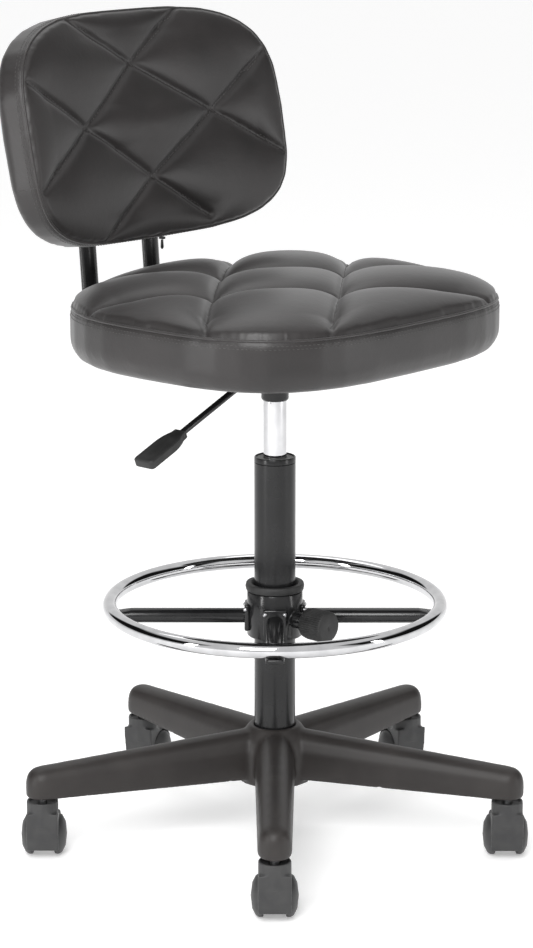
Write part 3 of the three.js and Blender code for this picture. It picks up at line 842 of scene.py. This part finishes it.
places = coordinates(seat_cover.data)
on_top = (places[:, 2] > seat_seam + 0.002) & (normals(seat_cover.data)[:, 2] > upward_lean)
fold = np.zeros(len(places))
for seam in seat_seams:
    fold += np.exp(-(distance_to_line(places[:, :2], seam) / fold_width) ** 2)
places[on_top, 2] -= fold_depth * np.clip(fold[on_top], 0, 1)
set_coordinates(seat_cover.data, places)
ease(seat_cover, 3)
fit_piece(seat_cover, leather, "seat", "leather", "seat_cushion")


# Backrest cushion: the same quilted leatherette over a curved, tilted panel, with a deep side band and a
# domed rear.
back_curve = 0.713
back_tilt = math.radians(11.6)
back_depth = 0.219
back_centre = 0.861
back_half_width = 0.226
back_half_height = 0.140
back_upper_power = 3.2
back_lower_power = 4.0
back_crown = 0.021
back_dome_power = 5.0
back_shallow_edge = 0.2
back_least_drop = 0.2
back_quilting = 0.62
back_pressure = 1.2
back_swell = 0.006
back_origin = axis + Vector((0, back_depth, back_centre))


def flattened(places):
    """A backrest point as (across, up, out toward the sitter) on the unrolled panel."""
    x = places[:, 0] - back_origin.x
    y = places[:, 1] - back_origin.y
    z = places[:, 2] - back_origin.z
    up = y * math.sin(back_tilt) + z * math.cos(back_tilt)
    into = back_curve - (z * math.sin(back_tilt) - y * math.cos(back_tilt))
    return np.stack([back_curve * np.arctan2(x, into), up, back_curve - np.hypot(x, into)], axis=1)


def curved(flat):
    """The inverse of flattened: points on the unrolled panel, rolled and tilted into place."""
    across, up, out = flat.T
    turn = across / back_curve
    forward = back_curve - (back_curve - out) * np.cos(turn)
    return np.stack([
        back_origin.x + (back_curve - out) * np.sin(turn),
        back_origin.y + up * math.sin(back_tilt) - forward * math.cos(back_tilt),
        back_origin.z + up * math.cos(back_tilt) + forward * math.sin(back_tilt),
    ], axis=1)


back_seams = [smooth_line(seam) for seam in (
    [(0.090, 0.140), (-0.006, 0.073), (-0.106, 0.001), (-0.220, -0.070)],
    [(0.217, 0.078), (0.116, 0.006), (0.003, -0.066), (-0.104, -0.140)],
    [(-0.122, 0.138), (-0.006, 0.073), (0.116, 0.006), (0.223, -0.060)],
    [(-0.222, 0.066), (-0.106, 0.001), (0.003, -0.066), (0.088, -0.122)],
)]
back_crossings = np.array([(-0.006, 0.073), (0.003, -0.066), (-0.106, 0.001), (0.116, 0.006)])


def back_edge_share(flat):
    power = np.where(flat[:, 1] > 0, back_upper_power, back_lower_power)
    across = np.abs(flat[:, 0]) / back_half_width
    return (across ** power + (np.abs(flat[:, 1]) / back_half_height) ** power) ** (1 / power)


back_cover = remeshed_cushion("back_cover", "backrest_cushion")
flat = flattened(coordinates(back_cover.data))
share = np.clip(back_edge_share(flat), 0, 1)
on_front = flat[:, 2] > 0.0005
dome = (1 - share ** back_dome_power) ** dome_roundness
flat[on_front, 2] = np.maximum(
    flat[on_front, 2] - most_flattening, (back_crown - foam_inset) * dome[on_front])
seam_gaps = np.array([distance_to_line(flat[:, :2], seam) for seam in back_seams])
crossing_gaps = np.array([np.linalg.norm(flat[:, :2] - crossing, axis=1) for crossing in back_crossings])
toward_edge = np.clip((1 - share) / back_shallow_edge, back_least_drop, 1)
flat[on_front, 2] -= (back_quilting * quilt_drop(seam_gaps, crossing_gaps) * toward_edge)[on_front]
set_coordinates(back_cover.data, curved(flat))
near_seam = (seam_gaps.min(axis=0) < held_width) & on_front
inflate(back_cover, near_seam | (flat[:, 2] < -0.001), back_pressure, back_swell)
subdivide(back_cover)

flat = flattened(coordinates(back_cover.data))
on_front = (flat[:, 2] > -0.002) & (back_edge_share(flat) < 0.97)
fold = np.zeros(len(flat))
for seam in back_seams:
    fold += np.exp(-(distance_to_line(flat[:, :2], seam) / fold_width) ** 2)
flat[on_front, 2] -= fold_depth * np.clip(fold[on_front], 0, 1)
set_coordinates(back_cover.data, curved(flat))
ease(back_cover, 3)
fit_piece(back_cover, leather, "seat", "leather", "backrest_cushion")


# Seams: each cushion's quilted panel is closed by a piped edge, with two rows of topstitching beside it on
# the band, and a row of stitches down each quilting channel.
pipe_radius = 0.0016
stitch_length = 0.0034
stitch_pitch = 0.0052
stitch_radius = 0.00045
thread_grey = (0.050, 0.048, 0.047)


def path_object(name, points, closed):
    """An object whose mesh is a line of edges through the points, for a geometry tree to work along."""
    count = len(points)
    edges = [(index, index + 1) for index in range(count - 1)] + ([(count - 1, 0)] if closed else [])
    mesh = bpy.data.meshes.new(name)
    mesh.from_pydata([tuple(point) for point in points], edges, [])
    piece = bpy.data.objects.new(name, mesh)
    bpy.context.scene.collection.objects.link(piece)
    return piece


def new_tree(name, *inputs):
    """A geometry tree with a Geometry input and output, and one named float input for each size."""
    tree = bpy.data.node_groups.new(name, "GeometryNodeTree")
    tree.interface.new_socket("Geometry", in_out="INPUT", socket_type="NodeSocketGeometry")
    tree.interface.new_socket("Geometry", in_out="OUTPUT", socket_type="NodeSocketGeometry")
    for label in inputs:
        tree.interface.new_socket(label, in_out="INPUT", socket_type="NodeSocketFloat")
    return tree, tree.nodes.new("NodeGroupInput"), tree.nodes.new("NodeGroupOutput")


def stitch_tree(material):
    """Grows one slim bead of thread at every pitch along a path."""
    tree, given, result = new_tree("stitches", "Pitch", "Length", "Radius")
    make = tree.nodes.new
    to_curve = make("GeometryNodeMeshToCurve")
    spaced = make("GeometryNodeResampleCurve")
    spaced.mode = "LENGTH"
    to_points = make("GeometryNodeCurveToPoints")
    to_points.mode = "EVALUATED"
    stitch = make("GeometryNodeMeshUVSphere")
    stitch.inputs["Segments"].default_value = 6
    stitch.inputs["Rings"].default_value = 4
    half = make("ShaderNodeMath")
    half.operation = "MULTIPLY"
    half.inputs[1].default_value = 0.5
    stretch = make("ShaderNodeCombineXYZ")
    shaped = make("GeometryNodeTransform")
    placed = make("GeometryNodeInstanceOnPoints")
    real = make("GeometryNodeRealizeInstances")
    painted = make("GeometryNodeSetMaterial")
    painted.inputs["Material"].default_value = material
    stitch.inputs["Radius"].default_value = 1
    link_nodes(
        tree,
        (given.outputs["Geometry"], to_curve.inputs["Mesh"]),
        (to_curve.outputs["Curve"], spaced.inputs["Curve"]),
        (given.outputs["Pitch"], spaced.inputs["Length"]),
        (spaced.outputs["Curve"], to_points.inputs["Curve"]),
        (given.outputs["Length"], half.inputs[0]),
        (given.outputs["Radius"], stretch.inputs["X"]),
        (given.outputs["Radius"], stretch.inputs["Y"]),
        (half.outputs[0], stretch.inputs["Z"]),
        (stitch.outputs["Mesh"], shaped.inputs["Geometry"]),
        (stretch.outputs["Vector"], shaped.inputs["Scale"]),
        (to_points.outputs["Points"], placed.inputs["Points"]),
        (to_points.outputs["Rotation"], placed.inputs["Rotation"]),
        (shaped.outputs["Geometry"], placed.inputs["Instance"]),
        (placed.outputs["Instances"], real.inputs["Geometry"]),
        (real.outputs["Geometry"], painted.inputs["Geometry"]),
        (painted.outputs["Geometry"], result.inputs["Geometry"]),
    )
    return tree


def pipe_tree(material):
    """Sweeps a round cord along a path."""
    tree, given, result = new_tree("piping", "Radius")
    make = tree.nodes.new
    to_curve = make("GeometryNodeMeshToCurve")
    profile = make("GeometryNodeCurvePrimitiveCircle")
    profile.inputs["Resolution"].default_value = 10
    swept = make("GeometryNodeCurveToMesh")
    real = make("GeometryNodeRealizeInstances")
    painted = make("GeometryNodeSetMaterial")
    painted.inputs["Material"].default_value = material
    link_nodes(
        tree,
        (given.outputs["Geometry"], to_curve.inputs["Mesh"]),
        (to_curve.outputs["Curve"], swept.inputs["Curve"]),
        (given.outputs["Radius"], profile.inputs["Radius"]),
        (profile.outputs["Curve"], swept.inputs["Profile Curve"]),
        (swept.outputs["Mesh"], real.inputs["Geometry"]),
        (real.outputs["Geometry"], painted.inputs["Geometry"]),
        (painted.outputs["Geometry"], result.inputs["Geometry"]),
    )
    return tree


def grown(piece, tree, sizes):
    """Runs a geometry tree over a path and keeps the plain mesh that it makes."""
    grow = piece.modifiers.new(tree.name, "NODES")
    grow.node_group = tree
    sockets = {item.name: item.identifier for item in tree.interface.items_tree if item.in_out == "INPUT"}
    for label, size in sizes.items():
        grow[sockets[label]] = size
    apply_modifiers(piece)
    smooth_faces(piece.data)


def surface_finder(piece):
    corners = [point.co for point in piece.data.vertices]
    faces = [face.vertices for face in piece.data.polygons]
    return BVHTree.FromPolygons(corners, faces)


def laid_on(finder, points, lift):
    """Each point moved to the nearest place on a cover, and raised off it by lift."""
    laid = []
    for point in points:
        spot, normal, _, _ = finder.find_nearest(Vector(point))
        laid.append(spot + normal * lift)
    return laid


thread_pale = tuple(1.5 * tone for tone in thread_grey)
thread = finish_material("thread", thread_grey, thread_pale, (0.5, 0.6), 0.01, 0.0004, 0.0001)
stitches = stitch_tree(thread)
piping = pipe_tree(leather)
stitch_sizes = {"Pitch": stitch_pitch, "Length": stitch_length, "Radius": stitch_radius}


def stitch_row(name, finder, points, closed):
    row = path_object(name, laid_on(finder, points, 0.4 * stitch_radius), closed)
    grown(row, stitches, stitch_sizes)
    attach(row, "seat")


def piped_edge(name, finder, points):
    edge = path_object(name, laid_on(finder, points, 0.2 * pipe_radius), True)
    grown(edge, piping, {"Radius": pipe_radius})
    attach(edge, "seat")


outline_steps = 220
topstitch_drops = (0.0060, 0.0100)


def outline(half_across, half_along, power_fore, power_aft):
    """Points round a squared oval, whose front and rear halves may be squared by different powers."""
    points = []
    for step in range(outline_steps):
        angle = 2 * math.pi * step / outline_steps
        power = power_fore if math.sin(angle) < 0 else power_aft
        along = abs(math.sin(angle)) ** (2 / power) * math.copysign(1, math.sin(angle))
        across = abs(math.cos(angle)) ** (2 / power) * math.copysign(1, math.cos(angle))
        points.append((half_across * across, half_along * along))
    return np.array(points)


seat_quilting_reach = 0.96
back_quilting_reach = 0.95
seat_finder = surface_finder(seat_cover)
seat_round = outline(seat_half.x, seat_half.y, seat_front_power, seat_rear_power)
seat_round += np.array([seat_middle.x, seat_middle.y])


def seat_round_at(height):
    return np.column_stack([seat_round, np.full(outline_steps, height)])


piped_edge("seat_piping", seat_finder, seat_round_at(seat_seam))
for row, below in enumerate(topstitch_drops, 1):
    stitch_row(f"seat_topstitch_{row}", seat_finder, seat_round_at(seat_seam - below), True)
for row, seam in enumerate(seat_seams, 1):
    inner = seam[seat_edge_share(seam) < seat_quilting_reach]
    over = np.column_stack([inner, np.full(len(inner), seat_seam + 0.010)])
    stitch_row(f"seat_quilting_{row}", seat_finder, over, False)

back_finder = surface_finder(back_cover)
back_round = outline(back_half_width, back_half_height, back_lower_power, back_upper_power)


def back_round_at(out):
    return curved(np.column_stack([back_round, np.full(outline_steps, out)]))


piped_edge("back_piping", back_finder, back_round_at(0.0))
for row, below in enumerate(topstitch_drops, 1):
    stitch_row(f"back_topstitch_{row}", back_finder, back_round_at(-below), True)
for row, seam in enumerate(back_seams, 1):
    inner = seam[back_edge_share(seam) < back_quilting_reach]
    over = curved(np.column_stack([inner, np.full(len(inner), 0.006)]))
    stitch_row(f"back_quilting_{row}", back_finder, over, False)

# The band is joined on each side of the backrest, where one stitched seam crosses it.
band_joint_height = -0.062
band_joint_run = np.linspace(-0.002, -0.032, 12)
for side, hand in ((-1, "right"), (1, "left")):
    joint = [(side * back_half_width, band_joint_height, out) for out in band_joint_run]
    stitch_row(f"back_band_joint_{hand}", back_finder, curved(np.array(joint)), False)


# Spoke screws: a pair of zinc button heads on each spoke's pad.
def screw_tree(material):
    """Places a round screw head on every point."""
    tree, given, result = new_tree("screws", "Radius")
    make = tree.nodes.new
    head = make("GeometryNodeMeshUVSphere")
    head.inputs["Segments"].default_value = 16
    head.inputs["Rings"].default_value = 8
    placed = make("GeometryNodeInstanceOnPoints")
    real = make("GeometryNodeRealizeInstances")
    shaded = make("GeometryNodeSetShadeSmooth")
    painted = make("GeometryNodeSetMaterial")
    painted.inputs["Material"].default_value = material
    link_nodes(
        tree,
        (given.outputs["Geometry"], placed.inputs["Points"]),
        (given.outputs["Radius"], head.inputs["Radius"]),
        (head.outputs["Mesh"], placed.inputs["Instance"]),
        (placed.outputs["Instances"], real.inputs["Geometry"]),
        (real.outputs["Geometry"], shaded.inputs["Geometry"]),
        (shaded.outputs["Geometry"], painted.inputs["Geometry"]),
        (painted.outputs["Geometry"], result.inputs["Geometry"]),
    )
    return tree


screw_places = []
for number in range(1, spoke_count + 1):
    spoke_low, spoke_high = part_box(f"ring_spoke_{number}")
    turn = spoke_turn(number)
    reach = hub_radius + pad_size.x / 2 - 0.4 * screw_radius
    for side in (-1, 1):
        screw_places.append((
            axis.x + reach * math.cos(turn) - side * screw_spacing * math.sin(turn),
            axis.y + reach * math.sin(turn) + side * screw_spacing * math.cos(turn),
            (spoke_low.z + spoke_high.z) / 2 + pad_size.z / 2 - 2 * screw_radius))
screw_mesh = bpy.data.meshes.new("spoke_screws")
screw_mesh.from_pydata(screw_places, [], [])
screws = bpy.data.objects.new("spoke_screws", screw_mesh)
bpy.context.scene.collection.objects.link(screws)
grown(screws, screw_tree(zinc), {"Radius": screw_radius})
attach(screws, "ring")


# Posts: two oval steel tubes under the seat that rise behind it and end inside the backrest.
for hand in ("left", "right"):
    post = edged_copy(f"post_{hand}", f"back_post_{hand}", 0.0006)
    fit_piece(post, powder_coat, "seat", "black_steel", f"back_post_{hand}")


# Zip: the slider and pull of the backrest cover's closing, at the lower edge.
zip_metal = finish_material(
    "zip_metal", (0.05, 0.05, 0.05), (0.12, 0.12, 0.12), (0.3, 0.4), 0.004, 0.0003, 0.00003, metal=1)
for node in ("zip_slider", "zip_pull"):
    small = edged_copy(f"{node}_piece", node, 0.0003)
    fit_piece(small, zip_metal, node, "steel", node)
